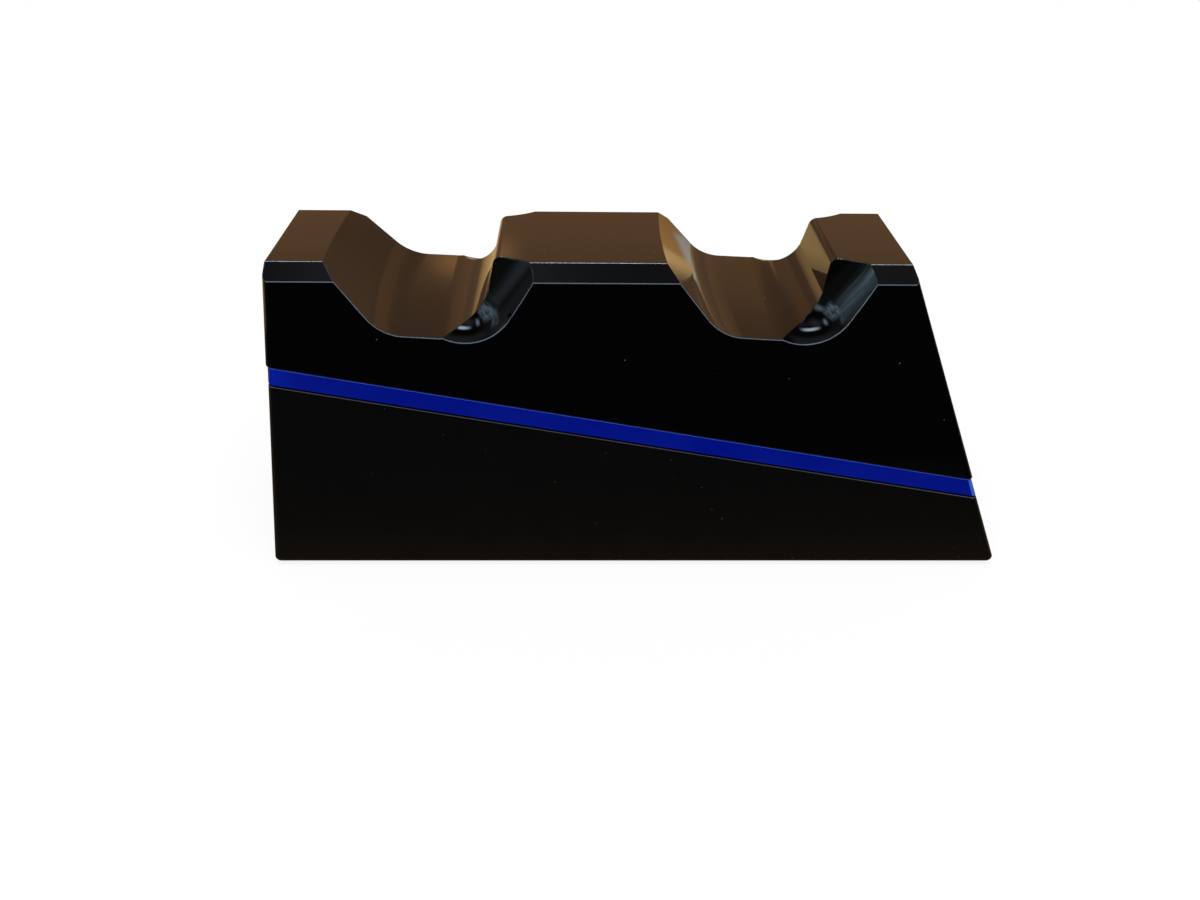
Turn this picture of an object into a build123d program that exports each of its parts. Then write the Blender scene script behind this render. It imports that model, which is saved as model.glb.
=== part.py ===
from build123d import *
import os
from math import atan, cos, degrees, radians, sin, tan

# Game controller stand: a slanted block that two controllers straddle, in millimetres.
# X runs along the stand, Y from front to back, Z up, from a point on the table under the middle of the base.
# Levels are heights above the bottom edge of the lower shell, which the feet hold off the table.

# Outer block, through the faces of the upper shell. The seam height and upper height are at mid-length.
length = 191.4
depth = 87.0
seam_height = 31.2
upper_height = 42.6
front_lean = 16.65
left_lean = 2.9
right_lean = 21.4
bevel_height = 3.4
bevel_depth = 4.75
corner_radius = 1.8
bottom_radius = 1.1
edge_radius = 0.28
edge_turn = 8.0
stand_off = 0.8

# Seam between the shells, sloping down towards the right end, and the light band above it
seam_slope = 8.82
groove = 0.42
band_top = 4.6
band_thickness = 3.0
rim_radius = 0.4
upper_proud = 0.35

# Walls, and the lip that centres the light band
wall = 2.2
wall_bite = 1.0
tongue_inset = 1.2
fit = 0.15
lip_thickness = 1.25
lip_height = 1.6
lip_root = 4.0

# Cradles, placed by the middles of their floors from the ends of the base and the top
left_end_to_cradle = 41.6
cradle_to_right_end = 65.9
cradle_drop = 16.22
floor_slope = 2.9
floor_to_rim = 24.2
ramp_angle = 50.7
ramp_fillet = 12.0
bow_radius = 255.0
heel_start = 3.6
heel_radius = 12.6
heel_angle = 69.0
back_angle = 79.0
back_round_drop = 1.7
back_round_run = 1.4

# Scoops that clear the controllers' handles: a round channel with a ball at its lower end
scoop_radius = 14.72
scoop_ahead = 10.6
scoop_inset = 14.9
scoop_drop = 2.9
scoop_rise = 51.7
scoop_turn = 5.5
scoop_reach = 30.0

# Screw posts, and the ribs across the shells that carry them
post_before = 27.9
post_after = 26.2
post_inset = 29.5
post_diameter = 7.0
tube_diameter = 8.6
tube_floor = 2.4
rib_thickness = 1.8
rib_floor = 12.0
rib_drop = 4.0
rib_rise = 2.0

# Base cover, its bosses in the lower shell, and the feet
cover_thickness = 2.5
cover_gap = 0.2
ledge_width = 1.4
ledge_height = 2.0
boss_end_inset = 15.7
boss_side_inset = 10.0
boss_diameter = 7.0
boss_height = 9.5
foot_diameter = 11.0
foot_thickness = 2.0
foot_round = 0.4
foot_end_inset = 29.7
foot_side_inset = 13.5

# Screws. The rounding of a head is a share of its height.
head_diameter = 5.0
head_height = 1.5
head_rounding = 0.4
thread_diameter = 2.6
shell_screw_length = 10.0
cover_screw_length = 8.0
board_head_diameter = 3.8
board_head_height = 1.2
board_thread_diameter = 2.0
board_screw_length = 4.6
screw_clearance = 0.3
thread_gap = 0.05
pilot_spare = 0.8
cross_width = 0.8
cross_span = 2.6
cross_depth = 0.7

# Circuit board and the parts soldered to it, placed along it from its middle
board_centre = 20.0
board_length = 52.0
board_clearance = 1.25
board_level = 5.0
board_thickness = 1.6
peg_end_inset = 4.0
peg_side_inset = 9.6
peg_diameter = 5.0
chip_side = 6.0
chip_height = 1.2
chip_from_middle = -8.0
can_diameter = 6.3
can_height = 5.4
can_round = 0.45
can_from_middle = 12.0
can_forward = 8.0

# Power socket at the back edge of the board
socket_from_middle = -12.0
socket_width = 7.6
socket_height = 2.8
socket_depth = 6.4
socket_skin = 0.3
socket_floor = 1.2
socket_corner = 0.7
socket_gap = 0.3
mouth_set_back = 0.1
tongue_width = 3.8
tongue_thickness = 0.8
tongue_length = 4.4
recess_width = 11.6
recess_height = 7.4
recess_depth = 0.9
recess_corner = 1.5

# Light strips behind the band
strip_thickness = 0.3
strip_height = 7.6
strip_margin = 1.2
strip_left_inset = 17.7
strip_right_inset = 23.7
lamp_level = 2.75
lamp_width = 3.5
lamp_height = 2.0
lamp_gap = 0.1
lamps_per_strip = 6
tail_width = 6.0
rear_tail_from_middle = 12.0
plug_length = 9.4
plug_depth = 3.0
plug_height = 2.6
tail_gap = 0.1

# Worked out from the sizes above
height = seam_height + upper_height
inner = upper_proud + wall
band_inner = upper_proud + band_thickness
lip_outer = band_inner + fit
lip_inner = lip_outer + lip_thickness
board_top = board_level + board_thickness
strip_top = lamp_level + strip_margin
pocket_depth = foot_thickness - stand_off
front_run = tan(radians(front_lean))
seam_fall = tan(radians(seam_slope))
first_cradle = left_end_to_cradle - length / 2
second_cradle = length / 2 - cradle_to_right_end
cradles = (first_cradle, second_cradle)
floor_height = height - cradle_drop
scoop_out = depth / 2 - scoop_inset
scoop_height = height - scoop_drop
stations = (first_cradle - post_before, (first_cradle + second_cradle) / 2, second_cradle + post_after)
post_spread = depth / 2 - post_inset
boss_x = length / 2 - boss_end_inset
boss_y = depth / 2 - boss_side_inset
foot_x = length / 2 - foot_end_inset
foot_y = depth / 2 - foot_side_inset
peg_x = board_length / 2 - peg_end_inset
socket_x = board_centre + socket_from_middle
strip_left = strip_left_inset - length / 2
strip_right = length / 2 - strip_right_inset
beyond = 20.0
upright = 0.8

front_view = Plane(origin=(0, 0, stand_off), x_dir=(1, 0, 0), z_dir=(0, -1, 0))
side_view = Plane(origin=(0, 0, stand_off), x_dir=(0, 1, 0), z_dir=(1, 0, 0))


def plan(level):
    """Horizontal plane at a level."""
    return Plane.XY.offset(stand_off + level)


def seam(rise):
    """Plane along the seam, a vertical rise above the rim of the lower shell."""
    normal = (sin(radians(seam_slope)), 0, cos(radians(seam_slope)))
    return Plane(origin=(0, 0, stand_off + seam_height + rise), x_dir=(0, 1, 0), z_dir=normal)


def seam_level(x):
    """Level of the lower shell's rim at a distance along the stand."""
    return seam_height - seam_fall * x


def wall_depth(level, inset):
    """Distance from the middle to the leaning front or back wall, inset from the block's face."""
    return depth / 2 - front_run * level - inset / cos(radians(front_lean))


board_depth = 2 * (wall_depth(board_top, inner) - board_clearance)
peg_y = board_depth / 2 - peg_side_inset
socket_level = board_top + socket_height / 2
recess_floor = wall_depth(socket_level, upper_proud) - recess_depth
socket_mouth = recess_floor - mouth_set_back
back_view = Plane(origin=(socket_x, depth, stand_off + socket_level), x_dir=(-1, 0, 0), z_dir=(0, 1, 0))


def front_wall(inset):
    """Plane inside the front face and parallel to it, with its Y up the wall."""
    outward = Vector(0, -cos(radians(front_lean)), sin(radians(front_lean)))
    foot = Vector(0, -depth / 2, stand_off) - outward * inset
    return Plane(origin=foot, x_dir=(1, 0, 0), z_dir=outward)


def up_wall(level, inset):
    """Distance up front_wall(inset) at which a level is reached."""
    return (level + inset * sin(radians(front_lean))) / cos(radians(front_lean))


def block(inset):
    """The plain block, before cradles, with every face moved in by inset. It runs on below the base."""
    left_run = tan(radians(left_lean))
    right_run = tan(radians(right_lean))
    shoulder = height - bevel_height
    with BuildPart() as form:
        with BuildSketch(front_view):
            with BuildLine():
                Polyline(
                    (-length / 2 - left_run * beyond, -beyond),
                    (length / 2 + right_run * beyond, -beyond),
                    (length / 2 - right_run * height, height),
                    (-length / 2 + left_run * height, height),
                    close=True,
                )
            make_face()
            if inset:
                offset(amount=-inset, kind=Kind.INTERSECTION)
        extrude(amount=depth, both=True)
        with BuildSketch(side_view):
            with BuildLine():
                Polyline(
                    (-wall_depth(-beyond, 0), -beyond),
                    (wall_depth(-beyond, 0), -beyond),
                    (wall_depth(shoulder, 0), shoulder),
                    (wall_depth(shoulder, 0) - bevel_depth, height),
                    (bevel_depth - wall_depth(shoulder, 0), height),
                    (-wall_depth(shoulder, 0), shoulder),
                    close=True,
                )
            make_face()
            if inset:
                offset(amount=-inset, kind=Kind.INTERSECTION)
        extrude(amount=length, both=True, mode=Mode.INTERSECT)
    return form.part


def rounded_block(inset):
    """The block with its four leaning corners rounded."""
    with BuildPart() as form:
        add(block(inset))
        corners = form.edges().filter_by(lambda edge: abs(edge.tangent_at(0.5).Z) > upright)
        fillet(corners, radius=corner_radius)
    return form.part


def rims(form):
    """The edges where two faces of a form meet at a clear turn."""
    meeting = {}
    for face in form.faces():
        for edge in face.edges():
            meeting.setdefault(edge, []).append(face)
    clear = ShapeList()
    for edge, (one, other) in meeting.items():
        middle = edge.position_at(0.5)
        turn = one.normal_at(middle).get_angle(other.normal_at(middle))
        if turn > edge_turn:
            clear.append(edge)
    return clear


def top_edges(form):
    """The edges around the face of a form that looks up along the seam's normal."""
    return form.faces().sort_by(Axis((0, 0, 0), seam(0).z_dir))[-1].edges()


def ring(outside, inside, low, high):
    """A band that follows the walls between two insets and two planes."""
    with BuildPart() as loop:
        add(block(outside))
        add(block(inside), mode=Mode.SUBTRACT)
        split(bisect_by=low, keep=Keep.TOP)
        split(bisect_by=high, keep=Keep.BOTTOM)
    return loop.part


def cradle(middle, grow):
    """The hollow of one cradle, with its walls moved out by grow."""
    fall = radians(floor_slope)
    toe = (middle + heel_start, floor_height - heel_start * tan(fall))
    hub = (toe[0] + heel_radius * sin(fall), toe[1] + heel_radius * cos(fall))
    turn = radians(heel_angle)
    crease = (hub[0] + heel_radius * sin(turn), hub[1] - heel_radius * cos(turn))
    half_turn = (turn - fall) / 2
    belly = (hub[0] + heel_radius * sin(half_turn), hub[1] - heel_radius * cos(half_turn))
    back_run = 1 / tan(radians(back_angle))
    left = middle - 2 * floor_to_rim
    floor_start = (left, floor_height + 2 * floor_to_rim * tan(fall))
    rim = middle - floor_to_rim
    with BuildPart() as hollow:
        with BuildSketch(front_view):
            with BuildLine():
                Line(floor_start, toe)
                ThreePointArc(toe, belly, crease)
                if grow:
                    roof_end = (crease[0] + (height + beyond - crease[1]) * back_run, height + beyond)
                    Line(crease, roof_end)
                else:
                    corner = (crease[0] + (height - crease[1]) * back_run, height)
                    below = (corner[0] - back_round_drop * back_run, height - back_round_drop)
                    after = (corner[0] + back_round_run, height)
                    Line(crease, below)
                    lip = TangentArc(below, after, tangent=(below[0] - crease[0], below[1] - crease[1]))
                    roof_end = ((lip @ 1).X, height + beyond)
                    Line(lip @ 1, roof_end)
                Polyline(roof_end, (left, height + beyond), floor_start)
            make_face()
            if grow:
                offset(amount=grow, kind=Kind.INTERSECTION)
        extrude(amount=depth / 2, both=True)
        with BuildSketch(front_view):
            axis_x = rim + bow_radius
            ramp_run = 1 / tan(radians(ramp_angle))
            shift = grow / sin(radians(ramp_angle))
            low = floor_height - beyond
            high = height + 2 * beyond
            with BuildLine():
                Polyline(
                    (axis_x, low),
                    (rim - shift + (height - low) * ramp_run, low),
                    (rim - shift + (height - high) * ramp_run, high),
                    (axis_x, high),
                    close=True,
                )
            make_face()
        revolve(axis=Axis((axis_x, 0, 0), (0, 0, 1)), mode=Mode.INTERSECT)
        foot = (rim + (height - floor_height) * ramp_run, 0, stand_off + floor_height)
        fillet(hollow.edges().sort_by_distance(foot)[0], radius=ramp_fillet + grow)
    return hollow.part


def scoop(middle, grow):
    """The channel at the front of one cradle, with its walls moved out by grow."""
    ball = Vector(middle + scoop_ahead, -scoop_out, stand_off + scoop_height)
    rise = radians(scoop_rise)
    turn = radians(scoop_turn)
    up = Vector(cos(rise) * cos(turn), cos(rise) * sin(turn), sin(rise))
    radius = scoop_radius + grow
    with BuildPart() as channel:
        with BuildSketch(Plane(origin=ball, x_dir=up, z_dir=up.cross(Vector(0, 0, 1)))):
            with BuildLine():
                Polyline((-radius, 0), (scoop_reach, 0), (scoop_reach, radius), (0, radius))
                RadiusArc((0, radius), (-radius, 0), -radius)
            make_face()
        revolve(axis=Axis(ball, up))
    return channel.part


def screw(head_width, head_depth, thread_width, thread_length):
    """Pan head screw with a cross slot, thread upwards from the underside of its head."""
    with BuildPart() as body:
        with BuildSketch(Plane.XY.offset(-head_depth)):
            Circle(head_width / 2)
        extrude(amount=head_depth)
        fillet(body.edges().group_by(Axis.Z)[0], radius=head_depth * head_rounding)
        with BuildSketch(Plane.XY):
            Circle(thread_width / 2)
        extrude(amount=thread_length)
        with BuildSketch(Plane.XY.offset(-head_depth)):
            Rectangle(cross_span, cross_width)
            Rectangle(cross_width, cross_span)
        extrude(amount=cross_depth, mode=Mode.SUBTRACT)
    return body.part


def both_ends(middle, grow):
    """The front and back scoops of one cradle."""
    front = scoop(middle, grow)
    return [front, front.mirror(Plane.XZ)]


hollows = [cradle(middle, 0) for middle in cradles]
scoops = [end for middle in cradles for end in both_ends(middle, 0)]
hollow_skins = [cradle(middle, wall) for middle in cradles]
scoop_skins = [end for middle in cradles for end in both_ends(middle, wall)]
hollow_cores = [cradle(middle, wall - wall_bite) for middle in cradles]
scoop_cores = [end for middle in cradles for end in both_ends(middle, wall - wall_bite)]

os.makedirs("parts", exist_ok=True)


# Upper shell: the space inside it, then the posts and ribs that stand in that space
with BuildPart() as upper_space:
    add(block(inner))
    add(hollow_skins, mode=Mode.SUBTRACT)
    add(scoop_skins, mode=Mode.SUBTRACT)

with BuildPart() as posts:
    for x in stations:
        with BuildSketch(plan(seam_level(x))):
            with Locations((x, -post_spread), (x, post_spread)):
                Circle(post_diameter / 2)
        extrude(amount=height)
        with BuildSketch(plan(seam_level(x) + strip_top + rib_rise)):
            with Locations((x, 0)):
                Rectangle(rib_thickness, depth)
        extrude(amount=height)
    add(block(inner - wall_bite), mode=Mode.INTERSECT)
    add(hollow_cores, mode=Mode.SUBTRACT)
    add(scoop_cores, mode=Mode.SUBTRACT)

with BuildPart() as upper_shell:
    add(rounded_block(0))
    split(bisect_by=seam(band_top), keep=Keep.TOP)
    add(hollows, mode=Mode.SUBTRACT)
    add(scoops, mode=Mode.SUBTRACT)
    fillet(rims(upper_shell.part), radius=edge_radius)
    add(upper_space.part, mode=Mode.SUBTRACT)
    add(posts.part)
    for x in stations:
        for y in (-post_spread, post_spread):
            with Locations((x, y, stand_off + seam_level(x))):
                Cylinder(
                    thread_diameter / 2 + thread_gap,
                    shell_screw_length - tube_floor + pilot_spare,
                    align=(Align.CENTER, Align.CENTER, Align.MIN),
                    mode=Mode.SUBTRACT,
                )
upper_shell.part.label = "upper_shell"
export_step(upper_shell.part, "parts/upper_shell.step")


# Light band: a clear ring that stands on the lower shell's tongue, clear of its outer rim
with BuildPart() as light_band:
    add(rounded_block(upper_proud))
    split(bisect_by=seam(groove), keep=Keep.TOP)
    split(bisect_by=seam(band_top), keep=Keep.BOTTOM)
    fillet(top_edges(light_band), radius=rim_radius)
    add(block(band_inner), mode=Mode.SUBTRACT)
light_band.part.label = "light_band"
export_step(light_band.part, "parts/light_band.step")


# Lower shell: open below, with the tongue and lip at its rim, tubes on cross ribs, and bosses for the cover
tongue = ring(upper_proud + tongue_inset, inner, seam(0), seam(groove))
lip_foot = ring(inner, lip_inner, seam(-lip_root), seam(0))
lip = ring(lip_outer, lip_inner, seam(0), seam(lip_height))
ledge = ring(inner, inner + ledge_width, plan(cover_thickness), plan(cover_thickness + ledge_height))

with BuildPart() as lower_frame:
    for x in stations:
        with BuildSketch(plan(rib_floor)):
            with Locations((x, 0)):
                Rectangle(rib_thickness, depth)
        extrude(amount=seam_level(x) - rib_drop - rib_floor)
        with BuildSketch(plan(rib_floor)):
            with Locations((x, -post_spread), (x, post_spread)):
                Circle(tube_diameter / 2)
        extrude(amount=seam_level(x) - rib_floor)
    with BuildSketch(plan(cover_thickness)):
        with GridLocations(2 * boss_x, 2 * boss_y, 2, 2):
            Circle(boss_diameter / 2)
        with GridLocations(2 * boss_x, depth, 2, 2):
            Rectangle(rib_thickness, depth - 2 * boss_y)
        with GridLocations(length, 2 * boss_y, 2, 2):
            Rectangle(length - 2 * boss_x, rib_thickness)
    extrude(amount=boss_height)
    add(block(inner - wall_bite), mode=Mode.INTERSECT)

with BuildPart() as lower_shell:
    add(rounded_block(upper_proud))
    split(bisect_by=plan(0), keep=Keep.TOP)
    fillet(lower_shell.edges().group_by(Axis.Z)[0], radius=bottom_radius)
    split(bisect_by=seam(0), keep=Keep.BOTTOM)
    fillet(top_edges(lower_shell), radius=rim_radius)
    add(block(inner), mode=Mode.SUBTRACT)
    add([tongue, lip_foot, lip, ledge])
    add(lower_frame.part)
    for x in stations:
        for y in (-post_spread, post_spread):
            with Locations((x, y, stand_off + seam_level(x) - tube_floor)):
                Cylinder(
                    head_diameter / 2 + screw_clearance,
                    height,
                    align=(Align.CENTER, Align.CENTER, Align.MAX),
                    mode=Mode.SUBTRACT,
                )
                Cylinder(
                    thread_diameter / 2 + screw_clearance,
                    height,
                    mode=Mode.SUBTRACT,
                )
    with Locations(plan(cover_thickness)):
        with GridLocations(2 * boss_x, 2 * boss_y, 2, 2):
            Cylinder(
                thread_diameter / 2 + thread_gap,
                cover_screw_length - (cover_thickness - head_height) + pilot_spare,
                align=(Align.CENTER, Align.CENTER, Align.MIN),
                mode=Mode.SUBTRACT,
            )
    with BuildSketch(back_view):
        RectangleRounded(recess_width, recess_height, recess_corner)
    extrude(amount=recess_floor - back_view.origin.Y, mode=Mode.SUBTRACT)
    with BuildSketch(back_view):
        RectangleRounded(
            socket_width + 2 * socket_gap,
            socket_height + 2 * socket_gap,
            socket_corner + socket_gap,
        )
    extrude(amount=socket_mouth - socket_depth - back_view.origin.Y, mode=Mode.SUBTRACT)
lower_shell.part.label = "lower_shell"
export_step(lower_shell.part, "parts/lower_shell.step")


# Base cover: a plate inside the lower shell's foot, with pockets for the feet and pegs for the board
with BuildPart() as base_cover:
    add(block(inner + cover_gap))
    split(bisect_by=plan(0), keep=Keep.TOP)
    split(bisect_by=plan(cover_thickness), keep=Keep.BOTTOM)
    with BuildSketch(plan(cover_thickness)):
        with Locations((board_centre, 0)):
            with GridLocations(2 * peg_x, 2 * peg_y, 2, 2):
                Circle(peg_diameter / 2)
    extrude(amount=board_level - cover_thickness)
    with BuildSketch(plan(0)):
        with GridLocations(2 * foot_x, 2 * foot_y, 2, 2):
            Circle(foot_diameter / 2 + fit)
    extrude(amount=pocket_depth, mode=Mode.SUBTRACT)
    with BuildSketch(plan(0)):
        with GridLocations(2 * boss_x, 2 * boss_y, 2, 2):
            Circle(head_diameter / 2 + screw_clearance)
    extrude(amount=head_height, mode=Mode.SUBTRACT)
    with BuildSketch(plan(0)):
        with GridLocations(2 * boss_x, 2 * boss_y, 2, 2):
            Circle(thread_diameter / 2 + screw_clearance)
    extrude(amount=cover_thickness, mode=Mode.SUBTRACT)
    with BuildSketch(plan(board_level)):
        with Locations((board_centre, 0)):
            with GridLocations(2 * peg_x, 2 * peg_y, 2, 2):
                Circle(board_thread_diameter / 2 + thread_gap)
    extrude(amount=-(board_screw_length - board_thickness + pilot_spare / 2), mode=Mode.SUBTRACT)
base_cover.part.label = "base_cover"
export_step(base_cover.part, "parts/base_cover.step")


# Feet: four rubber pads set into the cover
for end, side_x in (("left", -foot_x), ("right", foot_x)):
    for side, side_y in (("front", -foot_y), ("rear", foot_y)):
        with BuildPart() as foot:
            with BuildSketch(Plane((side_x, side_y, 0))):
                Circle(foot_diameter / 2)
            extrude(amount=foot_thickness)
            fillet(foot.edges().group_by(Axis.Z)[0], radius=foot_round)
        foot.part.label = f"foot_{side}_{end}"
        export_step(foot.part, f"parts/foot_{side}_{end}.step")


# Screws: each set of like screws is one part, made of separate solids
shell_fixing = screw(head_diameter, head_height, thread_diameter, shell_screw_length)
cover_fixing = screw(head_diameter, head_height, thread_diameter, cover_screw_length)
board_fixing = screw(board_head_diameter, board_head_height, board_thread_diameter, board_screw_length)

with BuildPart() as shell_screws:
    for x in stations:
        for y in (-post_spread, post_spread):
            with Locations((x, y, stand_off + seam_level(x) - tube_floor)):
                add(shell_fixing)
shell_screws.part.label = "shell_screws"
export_step(shell_screws.part, "parts/shell_screws.step")

with BuildPart() as base_screws:
    with Locations(plan(head_height)):
        with GridLocations(2 * boss_x, 2 * boss_y, 2, 2):
            add(cover_fixing)
base_screws.part.label = "base_screws"
export_step(base_screws.part, "parts/base_screws.step")

with BuildPart() as board_screws:
    with Locations(Location((board_centre, 0, stand_off + board_top), (180, 0, 0))):
        with GridLocations(2 * peg_x, 2 * peg_y, 2, 2):
            add(board_fixing)
board_screws.part.label = "board_screws"
export_step(board_screws.part, "parts/board_screws.step")


# Circuit board, its driver chip and its capacitor
with BuildPart() as circuit_board:
    with BuildSketch(plan(board_level)):
        with Locations((board_centre, 0)):
            Rectangle(board_length, board_depth)
            with GridLocations(2 * peg_x, 2 * peg_y, 2, 2):
                Circle(board_thread_diameter / 2 + screw_clearance, mode=Mode.SUBTRACT)
    extrude(amount=board_thickness)
circuit_board.part.label = "circuit_board"
export_step(circuit_board.part, "parts/circuit_board.step")

with BuildPart() as driver_chip:
    with BuildSketch(plan(board_top)):
        with Locations((board_centre + chip_from_middle, 0)):
            Rectangle(chip_side, chip_side)
    extrude(amount=chip_height)
driver_chip.part.label = "driver_chip"
export_step(driver_chip.part, "parts/driver_chip.step")

with BuildPart() as capacitor:
    with BuildSketch(plan(board_top)):
        with Locations((board_centre + can_from_middle, -can_forward)):
            Circle(can_diameter / 2)
    extrude(amount=can_height)
    fillet(capacitor.edges().group_by(Axis.Z)[-1], radius=can_round)
capacitor.part.label = "capacitor"
export_step(capacitor.part, "parts/capacitor.step")


# Power socket: a steel sleeve that opens through the back wall, with a contact tongue in it
with BuildPart() as power_socket:
    mouth_middle = (socket_x, socket_mouth, stand_off + socket_level)
    mouth = Plane(origin=mouth_middle, x_dir=(1, 0, 0), z_dir=(0, -1, 0))
    with BuildSketch(mouth):
        RectangleRounded(socket_width, socket_height, socket_corner)
    extrude(amount=socket_depth)
    with BuildSketch(mouth):
        RectangleRounded(
            socket_width - 2 * socket_skin,
            socket_height - 2 * socket_skin,
            socket_corner - socket_skin,
        )
    extrude(amount=socket_depth - socket_floor, mode=Mode.SUBTRACT)
power_socket.part.label = "power_socket"
export_step(power_socket.part, "parts/power_socket.step")

with BuildPart() as socket_tongue:
    with BuildSketch(mouth.offset(socket_depth - socket_floor)):
        Rectangle(tongue_width, tongue_thickness)
    extrude(amount=-tongue_length)
socket_tongue.part.label = "socket_tongue"
export_step(socket_tongue.part, "parts/socket_tongue.step")


# Light strips: flexible circuits stuck to the lip, each with a tail down to a plug on the board
strip_plane = front_wall(lip_inner)
lamp_pitch = (strip_right - strip_left) / lamps_per_strip
lamp_tilt = degrees(atan(seam_fall * cos(radians(front_lean))))
for side, tail_x in (("front", board_centre), ("rear", board_centre + rear_tail_from_middle)):
    with BuildPart() as strip:
        with BuildSketch(strip_plane):
            with BuildLine():
                edge = [
                    (x, up_wall(seam_level(x) + rise, lip_inner))
                    for x, rise in (
                        (strip_left, strip_top - strip_height),
                        (strip_right, strip_top - strip_height),
                        (strip_right, strip_top),
                        (strip_left, strip_top),
                    )
                ]
                Polyline(*edge, close=True)
            make_face()
            foot_of_tail = up_wall(board_top + tail_gap, lip_inner + strip_thickness)
            top_of_tail = up_wall(seam_level(tail_x), lip_inner)
            with Locations((tail_x, (foot_of_tail + top_of_tail) / 2)):
                Rectangle(tail_width, top_of_tail - foot_of_tail)
        extrude(amount=-strip_thickness)
    with BuildPart() as plug:
        plug_middle = wall_depth(board_top + plug_height / 2, lip_inner + strip_thickness / 2)
        with BuildSketch(plan(board_top)):
            with Locations((tail_x, -plug_middle)):
                Rectangle(plug_length, plug_depth)
        extrude(amount=plug_height)
        with BuildSketch(front_wall(lip_inner - tail_gap)):
            with Locations((tail_x, 0)):
                Rectangle(tail_width + 2 * tail_gap, height)
        extrude(amount=-(strip_thickness + 2 * tail_gap), mode=Mode.SUBTRACT)
    lamps = []
    for number in range(lamps_per_strip):
        x = strip_left + lamp_pitch * (number + 0.5)
        with BuildPart() as lamp:
            with BuildSketch(strip_plane):
                with Locations((x, up_wall(seam_level(x) + lamp_level, lip_inner))):
                    Rectangle(lamp_width, lamp_height, rotation=-lamp_tilt)
            extrude(amount=lip_inner - band_inner - lamp_gap)
        lamps.append(lamp.part)
    pieces = [(f"strip_{side}", strip.part), (f"strip_plug_{side}", plug.part)]
    pieces += [(f"lamp_{side}_{number + 1}", part) for number, part in enumerate(lamps)]
    for name, part in pieces:
        piece = part if side == "front" else part.mirror(Plane.XZ)
        piece.label = name
        export_step(piece, f"parts/{name}.step")
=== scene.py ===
import math

import bpy
from mathutils import Matrix, Vector


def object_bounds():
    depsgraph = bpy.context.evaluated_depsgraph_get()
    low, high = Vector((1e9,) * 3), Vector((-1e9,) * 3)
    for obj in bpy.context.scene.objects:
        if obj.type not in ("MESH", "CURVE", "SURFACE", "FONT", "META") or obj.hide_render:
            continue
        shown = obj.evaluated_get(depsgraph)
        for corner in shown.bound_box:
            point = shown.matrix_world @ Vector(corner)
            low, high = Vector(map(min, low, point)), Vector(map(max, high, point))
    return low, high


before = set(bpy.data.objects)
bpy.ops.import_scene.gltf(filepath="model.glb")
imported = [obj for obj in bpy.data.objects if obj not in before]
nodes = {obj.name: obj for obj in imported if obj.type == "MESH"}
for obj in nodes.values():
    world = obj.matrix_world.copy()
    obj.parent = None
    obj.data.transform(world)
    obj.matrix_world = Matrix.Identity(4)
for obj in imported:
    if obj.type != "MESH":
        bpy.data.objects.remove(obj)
cad_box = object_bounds()
MM = 0.001

# Camera: its place, and its turns down, sideways and about its own line of sight
CAMERA_PLACE = Vector((-14.84, -246.68, 171.44)) * MM
PITCH = math.radians(33.51)
YAW = math.radians(-1.30)
ROLL = math.radians(0.84)
LENS = 30.0
SENSOR = 36.0

# Lamps: how far they stand from the stand, and the point they face
CARD_DISTANCE = 1.6
CARD_TARGET = Vector((0, 0, 60)) * MM

# Grey of the room where no lamp is
ROOM_GLOW = 0.008

# Floor, in metres: half its width, its white as the camera sees it, and the share of that white near the
# stand that doesn't depend on the lamps. The share rises to 1 between two distances.
FLOOR_REACH = 3.0
FLOOR_WHITE = 0.97
FLOOR_GLOW = 0.85
FLOOR_EDGE = (0.4, 1.2)

# Table that the gloss mirrors instead of the floor, in metres: its colours in front of the stand, under
# it, behind it and far behind on the right, and where each gives way to the next
TABLE_FRONT = (0.025, 0.024, 0.022)
TABLE_UNDER = (0.16, 0.10, 0.055)
TABLE_BEHIND = (0.82, 0.52, 0.21)
TABLE_FAR = (0.58, 0.30, 0.10)
UNDER_FADE = (-0.16, -0.04)
BEHIND_FADE = (0.205, 0.27)
BEHIND_DIRECTION = (-0.5, 1, 0)
FAR_FADE_X = (0.10, 0.14)
FAR_FADE_Y = (0.385, 0.405)

# Pale patch that lies on the table: its colour, and where it lies across a direction and along Y
PATCH = (0.68, 0.65, 0.58)
PATCH_DIRECTION = (1, -0.45, 0)
PATCH_ACROSS = (0.008, 0.05)
PATCH_ACROSS_SOFT = 0.012
PATCH_ALONG = (0.40, 0.64)
PATCH_ALONG_SOFT = 0.02


def make_camera():
    """The camera at the photograph's viewing angle."""
    data = bpy.data.cameras.new("camera")
    data.lens = LENS
    data.sensor_width = SENSOR
    data.clip_start = 0.01
    data.clip_end = 50.0
    camera = bpy.data.objects.new("camera", data)
    bpy.context.scene.collection.objects.link(camera)
    level_right = Vector((math.cos(YAW), math.sin(YAW), 0))
    ahead = Vector((-math.sin(YAW), math.cos(YAW), 0))
    forward = ahead * math.cos(PITCH) - Vector((0, 0, math.sin(PITCH)))
    level_up = ahead * math.sin(PITCH) + Vector((0, 0, math.cos(PITCH)))
    right = level_right * math.cos(ROLL) + level_up * math.sin(ROLL)
    up = level_up * math.cos(ROLL) - level_right * math.sin(ROLL)
    turn = Matrix((right, up, -forward)).transposed()
    camera.matrix_world = Matrix.Translation(CAMERA_PLACE) @ turn.to_4x4()
    bpy.context.scene.camera = camera


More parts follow.
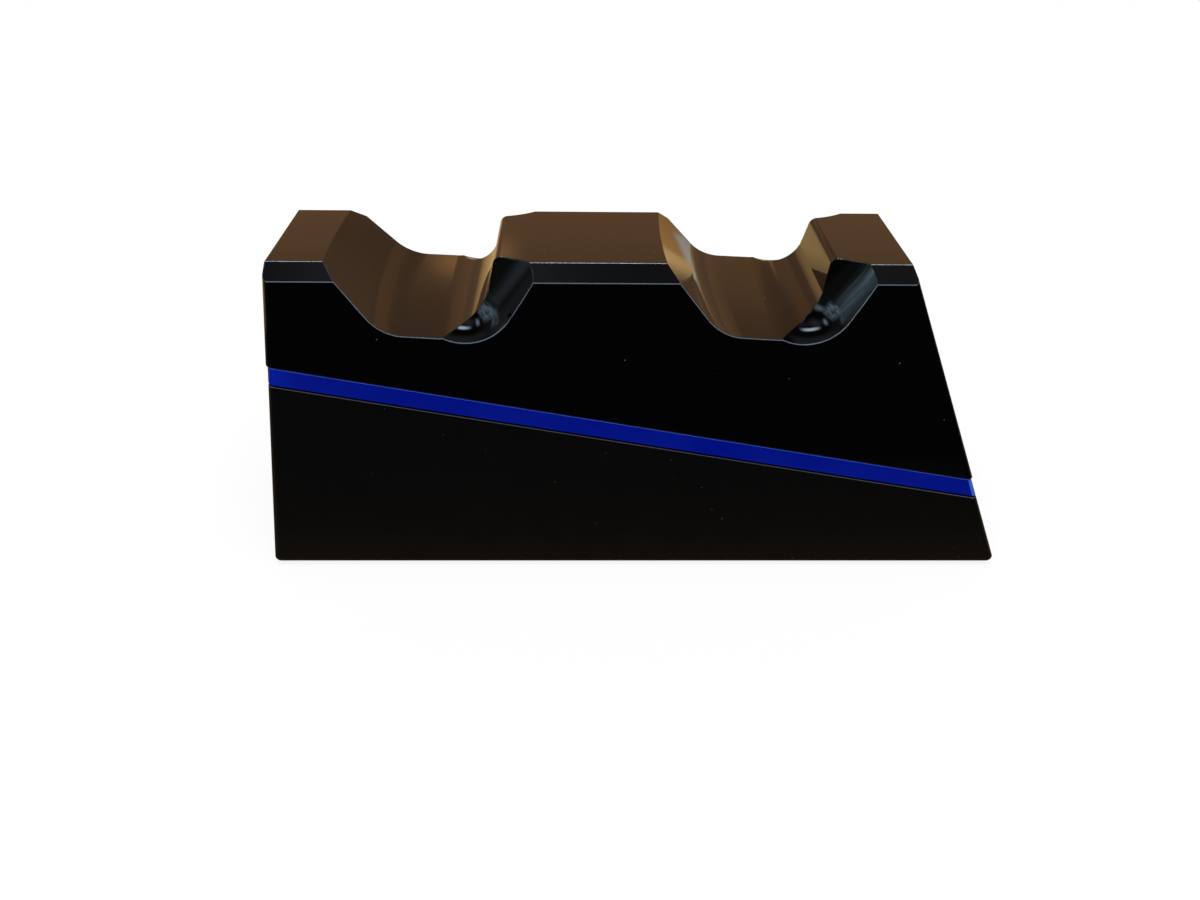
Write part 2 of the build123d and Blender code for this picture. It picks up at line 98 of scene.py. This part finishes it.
class Nodes:
    """The node tree of a material or a lamp, with short ways to add to it."""

    def __init__(self, owner, output, source, socket):
        self.owner = owner
        owner.use_nodes = True
        self.tree = owner.node_tree
        self.tree.nodes.clear()
        self.out = self.add(output)
        self.source = self.add(source)
        self.place = self.source.outputs[socket]

    def add(self, kind, **settings):
        node = self.tree.nodes.new(kind)
        for key, value in settings.items():
            setattr(node, key, value)
        return node

    def link(self, source, target):
        self.tree.links.new(source, target)

    def axes(self, vector=None):
        """The X, Y and Z of a vector, or of the place."""
        node = self.add("ShaderNodeSeparateXYZ")
        self.link(vector or self.place, node.inputs[0])
        return node.outputs

    def slant(self):
        """The X, Y and Z of the surface's own normal."""
        return self.axes(self.source.outputs["Normal"])

    def stretched(self, by):
        """The place with each axis multiplied by its own number."""
        node = self.add("ShaderNodeVectorMath", operation="MULTIPLY")
        self.link(self.place, node.inputs[0])
        node.inputs[1].default_value = by
        return node.outputs[0]

    def along(self, vector, direction):
        """How far a vector reaches along a direction."""
        node = self.add("ShaderNodeVectorMath", operation="DOT_PRODUCT")
        self.link(vector, node.inputs[0])
        node.inputs[1].default_value = direction
        return node.outputs["Value"]

    def noise(self, scale, detail=4.0, roughness=0.6, place=None):
        """Noise from 0 to 1, with a scale in cells per unit of the place."""
        node = self.add("ShaderNodeTexNoise")
        node.inputs["Scale"].default_value = scale
        node.inputs["Detail"].default_value = detail
        node.inputs["Roughness"].default_value = roughness
        self.link(place or self.place, node.inputs["Vector"])
        return node.outputs["Fac"]

    def spread(self, value, low, high, to_low, to_high, smooth=False):
        """value mapped from low..high to to_low..to_high, held at its ends."""
        node = self.add("ShaderNodeMapRange", interpolation_type="SMOOTHSTEP" if smooth else "LINEAR")
        for socket, number in zip(node.inputs[1:5], (low, high, to_low, to_high)):
            socket.default_value = number
        self.link(value, node.inputs[0])
        return node.outputs[0]

    def within(self, value, low, high, soft):
        """1 between low and high, falling smoothly to 0 at a distance soft outside them."""
        rise = self.spread(value, low - soft, low, 0, 1, smooth=True)
        return self.times(rise, self.spread(value, high, high + soft, 1, 0, smooth=True))

    def times(self, first, second):
        """The product of two values."""
        node = self.add("ShaderNodeMath", operation="MULTIPLY")
        self.link(first, node.inputs[0])
        self.link(second, node.inputs[1])
        return node.outputs[0]

    def blend(self, share, first, second):
        """Colour first where share is 0 and second where it is 1."""
        node = self.add("ShaderNodeMix", data_type="RGBA")
        self.link(share, node.inputs["Factor"])
        for socket, colour in ((node.inputs[6], first), (node.inputs[7], second)):
            if isinstance(colour, tuple):
                socket.default_value = (*colour, 1)
            else:
                self.link(colour, socket)
        return node.outputs[2]

    def bump(self, height, depth):
        """A bump of depth millimetres."""
        node = self.add("ShaderNodeBump")
        node.inputs["Distance"].default_value = depth * MM
        self.link(height, node.inputs["Height"])
        return node.outputs["Normal"]


def card(name, azimuth, elevation, spread, glow, soft, streaks=0, shines=False, mirrored=True):
    """A rectangular lamp aimed at the stand, as wide and high as spread says in degrees. glow is the
    radiance at its middle, and it fades out over the share soft at each edge. Azimuth 0 is behind the
    stand and 90 to its right. streaks is how many soft stripes cross it. Glossy surfaces show it where
    mirrored is set, and it lights all surfaces where shines is set."""
    a = math.radians(azimuth)
    e = math.radians(elevation)
    away = Vector((math.sin(a) * math.cos(e), math.cos(a) * math.cos(e), math.sin(e)))
    data = bpy.data.lights.new(name, "AREA")
    data.shape = "RECTANGLE"
    data.size, data.size_y = (2 * CARD_DISTANCE * math.tan(math.radians(angle / 2)) for angle in spread)
    level = max(glow)
    data.color = [part / level for part in glow]
    data.energy = level * math.pi * data.size * data.size_y
    n = Nodes(data, "ShaderNodeOutputLight", "ShaderNodeNewGeometry", "Parametric")
    across, along, _ = n.axes()
    share = n.times(n.within(across, soft, 1 - soft, soft), n.within(along, soft, 1 - soft, soft))
    if streaks:
        stripe = n.noise(streaks, 3.0, 0.7, n.stretched((0.25, 1, 1)))
        share = n.times(share, n.spread(stripe, 0.40, 0.60, 0.12, 1))
    shade = n.add("ShaderNodeEmission")
    n.link(share, shade.inputs["Strength"])
    n.link(shade.outputs[0], n.out.inputs["Surface"])
    lamp = bpy.data.objects.new(name, data)
    bpy.context.scene.collection.objects.link(lamp)
    lamp.location = away * CARD_DISTANCE + CARD_TARGET
    lamp.rotation_euler = (-away).to_track_quat("-Z", "Y").to_euler()
    lamp.visible_camera = False
    lamp.visible_diffuse = shines
    lamp.visible_glossy = mirrored


def make_world():
    """White where the camera sees it, and a dark room otherwise."""
    world = bpy.data.worlds.new("room")
    bpy.context.scene.world = world
    world.use_nodes = True
    tree = world.node_tree
    tree.nodes.clear()
    path = tree.nodes.new("ShaderNodeLightPath")
    white = tree.nodes.new("ShaderNodeBackground")
    white.inputs["Color"].default_value = (1, 1, 1, 1)
    room = tree.nodes.new("ShaderNodeBackground")
    room.inputs["Color"].default_value = (ROOM_GLOW, ROOM_GLOW, ROOM_GLOW, 1)
    mix = tree.nodes.new("ShaderNodeMixShader")
    out = tree.nodes.new("ShaderNodeOutputWorld")
    tree.links.new(path.outputs["Is Camera Ray"], mix.inputs["Fac"])
    tree.links.new(room.outputs[0], mix.inputs[1])
    tree.links.new(white.outputs[0], mix.inputs[2])
    tree.links.new(mix.outputs[0], out.inputs["Surface"])


# The leaning front wall, which the back wall mirrors: its outward direction, and its distance from the
# origin in millimetres
FRONT_LEAN = math.radians(16.65)
FRONT_OUT = (0, math.cos(FRONT_LEAN), math.sin(FRONT_LEAN))
FRONT_REACH = 41.905
TOP_LEVEL = cad_box[1][2]

# Specks of dust: cells per millimetre, the share of a cell at which a speck fades out, and its colour
DUST_SCALE = 0.2
DUST_EDGE = (0.018, 0.029)
DUST_COLOUR = (0.30, 0.31, 0.33)

# Painted highlights: light lines painted along the small edge roundings. Those of the upper shell lie
# between two distances in millimetres below its top and inside its front wall, and those of the band
# and the lower shell where the Z of the normal lies between two values.
TOP_PAINTED_HIGHLIGHT = (0.60, 0.74, 0.95)
TOP_PAINTED_HIGHLIGHT_DEPTH = (0.12, 0.08)
RIM_PAINTED_HIGHLIGHT = (0.09, 0.115, 0.15)
RIM_PAINTED_HIGHLIGHT_DEPTH = (0.15, 0.012)
RIM_PAINTED_HIGHLIGHT_SOFT = 0.008
SATIN_PAINTED_HIGHLIGHT = (0.040, 0.045, 0.056)
SATIN_PAINTED_HIGHLIGHT_SLANT = (0.48, 0.80)
BAND_PAINTED_HIGHLIGHT = (0.045, 0.130, 0.66)
BAND_PAINTED_HIGHLIGHT_SLANT = (0.40, 0.58)
PAINTED_HIGHLIGHT_SOFT = 0.05

# Distances in millimetres from mid-length between which the band grows lighter, a painted glow for light
# passing through the plastic near its ends
BAND_PAINTED_GLOW = (85.0, 94.0)


def material(name):
    """The nodes of a new material, placed by the object's own coordinates."""
    return Nodes(bpy.data.materials.new(name), "ShaderNodeOutputMaterial", "ShaderNodeTexCoord", "Object")


def finished(n, tone, rough, normal, metallic=0.0):
    """A material with the given colour, roughness and normal."""
    skin = n.add("ShaderNodeBsdfPrincipled")
    skin.inputs["IOR"].default_value = 1.5
    skin.inputs["Metallic"].default_value = metallic
    n.link(tone, skin.inputs["Base Color"])
    n.link(rough, skin.inputs["Roughness"])
    n.link(normal, skin.inputs["Normal"])
    n.link(skin.outputs[0], n.out.inputs["Surface"])
    return n.owner


def dusted(n, tone, amount):
    """tone with fine specks of dust, a fraction of a millimetre across."""
    fleck = n.add("ShaderNodeTexVoronoi", feature="F1")
    fleck.inputs["Scale"].default_value = DUST_SCALE / MM
    n.link(n.place, fleck.inputs["Vector"])
    speck = n.spread(fleck.outputs["Distance"], *DUST_EDGE, amount, 0)
    return n.blend(speck, tone, DUST_COLOUR)


def plastic(name, colour, roughness, grain, grain_depth, dust=0.0, painted_highlight=None):
    """Moulded plastic with a fine grain, faint mottling and, where they are set, specks of dust and a
    painted highlight of the given colour along its upper rims."""
    n = material(name)
    mottle = n.noise(0.12 / MM)
    tone = n.blend(n.spread(mottle, 0.35, 0.65, 0, 1), colour, tuple(c * 1.15 for c in colour))
    if dust:
        tone = dusted(n, tone, dust)
    if painted_highlight:
        # Painted highlight along the upper rim roundings, where the Z of the normal lies in a band
        tone = n.blend(n.within(n.slant()[2], *SATIN_PAINTED_HIGHLIGHT_SLANT, PAINTED_HIGHLIGHT_SOFT), tone, painted_highlight)
    rough = n.spread(mottle, 0.3, 0.7, roughness * 0.97, roughness * 1.04)
    return finished(n, tone, rough, n.bump(n.noise(grain / MM, 2.0), grain_depth))


def polished(name, colour, roughness):
    """Polished black plastic with dust, and with painted highlights along its top edges and its front and
    back rims. Noise breaks the painted highlight along the top into dashes."""
    n = material(name)
    mottle = n.noise(0.08 / MM)
    tone = n.blend(n.spread(mottle, 0.35, 0.65, 0, 1), colour, tuple(c * 1.3 for c in colour))
    tone = dusted(n, tone, 0.6)
    rough = n.spread(mottle, 0.3, 0.7, roughness * 0.85, roughness * 1.2)
    slant = n.slant()
    # Painted highlight along the top edges, broken into dashes by noise
    highlight_gaps = n.spread(n.noise(1.6 / MM, 3.0, 0.7), 0.40, 0.62, 0.5, 1)
    top = n.times(n.within(slant[2], 0.85, 0.97, 0.01), n.within(slant[0], -0.06, 0.06, 0.03))
    top = n.times(top, n.spread(n.axes()[2], *(TOP_LEVEL - depth * MM for depth in TOP_PAINTED_HIGHLIGHT_DEPTH), 0, 1))
    tone = n.blend(n.times(top, highlight_gaps), tone, TOP_PAINTED_HIGHLIGHT)
    # Painted highlight along the front and back rims
    out = n.add("ShaderNodeVectorMath", operation="ABSOLUTE")
    n.link(n.place, out.inputs[0])
    reach = n.along(out.outputs[0], FRONT_OUT)
    edges = ((FRONT_REACH - depth) * MM for depth in RIM_PAINTED_HIGHLIGHT_DEPTH)
    rim = n.within(reach, *edges, RIM_PAINTED_HIGHLIGHT_SOFT * MM)
    rim = n.times(rim, n.spread(slant[2], 0.40, 0.46, 0, 1))
    tone = n.blend(rim, tone, RIM_PAINTED_HIGHLIGHT)
    return finished(n, tone, rough, n.bump(n.noise(2.5 / MM, 2.0), 0.0005))


def band_with_painted_glow(name, colour, painted_end_glow, roughness):
    """Blue diffuser, clouded along its length, with a painted glow towards its ends for light passing
    through the plastic there, and a painted highlight along its upper edge."""
    n = material(name)
    cloud = n.noise(0.05 / MM, 3.0)
    lighter = (colour[0] + 0.001, colour[1] + 0.002, colour[2] + 0.015)
    tone = n.blend(n.spread(cloud, 0.4, 0.6, 0, 1), colour, lighter)
    # Painted glow: the band grows lighter towards its ends
    reach = n.add("ShaderNodeMath", operation="ABSOLUTE")
    n.link(n.axes()[0], reach.inputs[0])
    end_glow = n.spread(reach.outputs[0], *(place * MM for place in BAND_PAINTED_GLOW), 0, 1, smooth=True)
    tone = n.blend(end_glow, tone, painted_end_glow)
    # Painted highlight along the upper edge rounding
    tone = n.blend(n.within(n.slant()[2], *BAND_PAINTED_HIGHLIGHT_SLANT, PAINTED_HIGHLIGHT_SOFT), tone, BAND_PAINTED_HIGHLIGHT)
    rough = n.spread(n.noise(0.5 / MM), 0.3, 0.7, roughness * 0.85, roughness * 1.15)
    return finished(n, tone, rough, n.bump(n.noise(2.0 / MM, 2.0), 0.001))


def metal(name, colour, roughness):
    """Plated metal with fine scratches."""
    n = material(name)
    grain = n.noise(3.0 / MM, 2.0)
    tone = n.blend(n.noise(0.6 / MM), tuple(c * 0.85 for c in colour), colour)
    rough = n.spread(grain, 0.3, 0.7, roughness * 0.8, roughness * 1.25)
    return finished(n, tone, rough, n.bump(grain, 0.01), metallic=1.0)


FINISH = {
    "gloss_black": polished("gloss_black", (0.0007, 0.0007, 0.0008), 0.060),
    "satin_black": plastic("satin_black", (0.0017, 0.0017, 0.0017), 0.26, 5.0, 0.003, 0.2, SATIN_PAINTED_HIGHLIGHT),
    "band_blue": band_with_painted_glow("band_blue", (0.0001, 0.0060, 0.250), (0.0020, 0.0150, 0.40), 0.08),
    "cover_black": plastic("cover_black", (0.0060, 0.0057, 0.0054), 0.55, 3.0, 0.03),
    "foot_rubber": plastic("foot_rubber", (0.0080, 0.0080, 0.0080), 0.80, 4.0, 0.04),
    "screw_steel": metal("screw_steel", (0.55, 0.55, 0.56), 0.30),
    "board_green": plastic("board_green", (0.010, 0.075, 0.025), 0.35, 2.0, 0.01),
    "chip_black": plastic("chip_black", (0.010, 0.010, 0.010), 0.60, 6.0, 0.01),
    "capacitor_can": metal("capacitor_can", (0.72, 0.72, 0.73), 0.35),
    "socket_steel": metal("socket_steel", (0.60, 0.60, 0.60), 0.28),
    "strip_white": plastic("strip_white", (0.75, 0.75, 0.73), 0.45, 3.0, 0.01),
    "plug_white": plastic("plug_white", (0.70, 0.69, 0.64), 0.50, 3.0, 0.01),
    "lamp_white": plastic("lamp_white", (0.80, 0.78, 0.60), 0.30, 3.0, 0.01),
}


def slot_of(name):
    """The material slot that a node of the frame takes its finish from."""
    for start, slot in (
        ("upper_shell", "gloss_black"),
        ("lower_shell", "satin_black"),
        ("light_band", "band_blue"),
        ("base_cover", "cover_black"),
        ("foot", "foot_rubber"),
        ("circuit_board", "board_green"),
        ("driver_chip", "chip_black"),
        ("capacitor", "capacitor_can"),
        ("power_socket", "socket_steel"),
        ("socket_tongue", "plug_white"),
        ("strip_plug", "plug_white"),
        ("strip", "strip_white"),
        ("lamp", "lamp_white"),
    ):
        if name.startswith(start):
            return slot
    return "screw_steel"


def make_floor():
    """A plain floor. The camera sees it white with the stand's shadow on it. In the stand's gloss it is
    a brown table, dull in front of the stand and bright behind it, with a pale patch behind on the
    right."""
    data = bpy.data.meshes.new("floor")
    corners = [(x * FLOOR_REACH, y * FLOOR_REACH, 0) for x, y in ((-1, -1), (1, -1), (1, 1), (-1, 1))]
    data.from_pydata(corners, [], [(0, 1, 2, 3)])
    floor = bpy.data.objects.new("floor", data)
    bpy.context.scene.collection.objects.link(floor)
    n = material("floor")
    x, y, _ = n.axes()
    table = n.blend(n.spread(y, *UNDER_FADE, 0, 1), TABLE_FRONT, TABLE_UNDER)
    behind = n.spread(n.along(n.place, BEHIND_DIRECTION), *BEHIND_FADE, 0, 1)
    table = n.blend(behind, table, TABLE_BEHIND)
    far = n.times(n.spread(x, *FAR_FADE_X, 0, 1), n.spread(y, *FAR_FADE_Y, 0, 1))
    table = n.blend(far, table, TABLE_FAR)
    across = n.within(n.along(n.place, PATCH_DIRECTION), *PATCH_ACROSS, PATCH_ACROSS_SOFT)
    patch = n.times(across, n.within(y, *PATCH_ALONG, PATCH_ALONG_SOFT))
    table = n.blend(patch, table, PATCH)
    seen = n.add("ShaderNodeLightPath").outputs["Is Camera Ray"]
    skin = n.add("ShaderNodeBsdfDiffuse")
    n.link(n.blend(seen, table, (FLOOR_WHITE, FLOOR_WHITE, FLOOR_WHITE)), skin.inputs["Color"])
    glow = n.add("ShaderNodeEmission")
    mix = n.add("ShaderNodeMixShader")
    away = n.add("ShaderNodeVectorMath", operation="LENGTH")
    n.link(n.place, away.inputs[0])
    white = n.spread(away.outputs["Value"], *FLOOR_EDGE, FLOOR_GLOW, 1, smooth=True)
    n.link(n.times(seen, white), mix.inputs["Fac"])
    n.link(skin.outputs[0], mix.inputs[1])
    n.link(glow.outputs[0], mix.inputs[2])
    n.link(mix.outputs[0], n.out.inputs["Surface"])
    data.materials.append(n.owner)


make_camera()
make_world()
make_floor()
for name, node in nodes.items():
    node.data.materials.clear()
    node.data.materials.append(FINISH[slot_of(name)])

# Lamps that light the surfaces but aren't mirrored in them
card("sky", 180, 78, (84, 84), (1.9, 1.9, 1.9), soft=0.1, shines=True, mirrored=False)
card("front_fill", 180, 22, (80, 44), (1.6, 1.6, 1.6), soft=0.1, shines=True, mirrored=False)
card("back_fill", 0, 30, (100, 50), (1.1, 1.1, 1.1), soft=0.1, shines=True, mirrored=False)

# A room that only the gloss mirrors: the wall behind with a lamp on it, windows on the left, on the right
# and in front, and the ceiling with its lamp
card("wall", 0, 12, (110, 50), (0.33, 0.185, 0.095), soft=0.2)
card("wall_top", 0, 19, (80, 16), (0.17, 0.075, 0.025), soft=0.3)
card("wall_foot", -24, 0, (36, 8), (0.40, 0.21, 0.08), soft=0.4)
card("wall_lamp", -7, 23, (5, 3), (0.85, 0.42, 0.14), soft=0.5)
card("window", -110, 44, (44, 32), (1.7, 2.5, 3.1), soft=0.35, streaks=14)
card("window_side", -80, 35, (40, 18), (0.6, 0.9, 1.15), soft=0.3, streaks=8)
card("window_bar", -95, 64, (22, 9), (2.2, 3.0, 3.7), soft=0.5)
card("window_left", -147, 49, (26, 16), (1.4, 2.0, 2.5), soft=0.5)
card("window_foot", -108, 22, (40, 20), (0.26, 0.34, 0.42), soft=0.5)
card("window_low", -64, 34, (56, 60), (0.06, 0.065, 0.07), soft=0.3)
card("left_wall", -95, 24, (120, 50), (0.05, 0.053, 0.056), soft=0.25)
card("back_wall", 0, 54, (80, 34), (0.14, 0.14, 0.15), soft=0.4)
card("ceiling", 180, 84, (70, 16), (0.10, 0.10, 0.12), soft=0.4)
card("ceiling_right", 105, 72, (24, 24), (0.09, 0.09, 0.09), soft=0.5)
card("ceiling_left", -122, 78, (36, 24), (0.24, 0.25, 0.30), soft=0.5)
card("ceiling_lamp", 0, 84, (36, 10), (6.0, 7.6, 9.4), soft=0.4)
card("front_window", 180, 44, (80, 34), (0.15, 0.15, 0.16), soft=0.4)
card("right_window", 110, 40, (50, 36), (1.6, 1.9, 2.3), soft=0.4)

bpy.context.scene.view_settings.view_transform = "Standard"
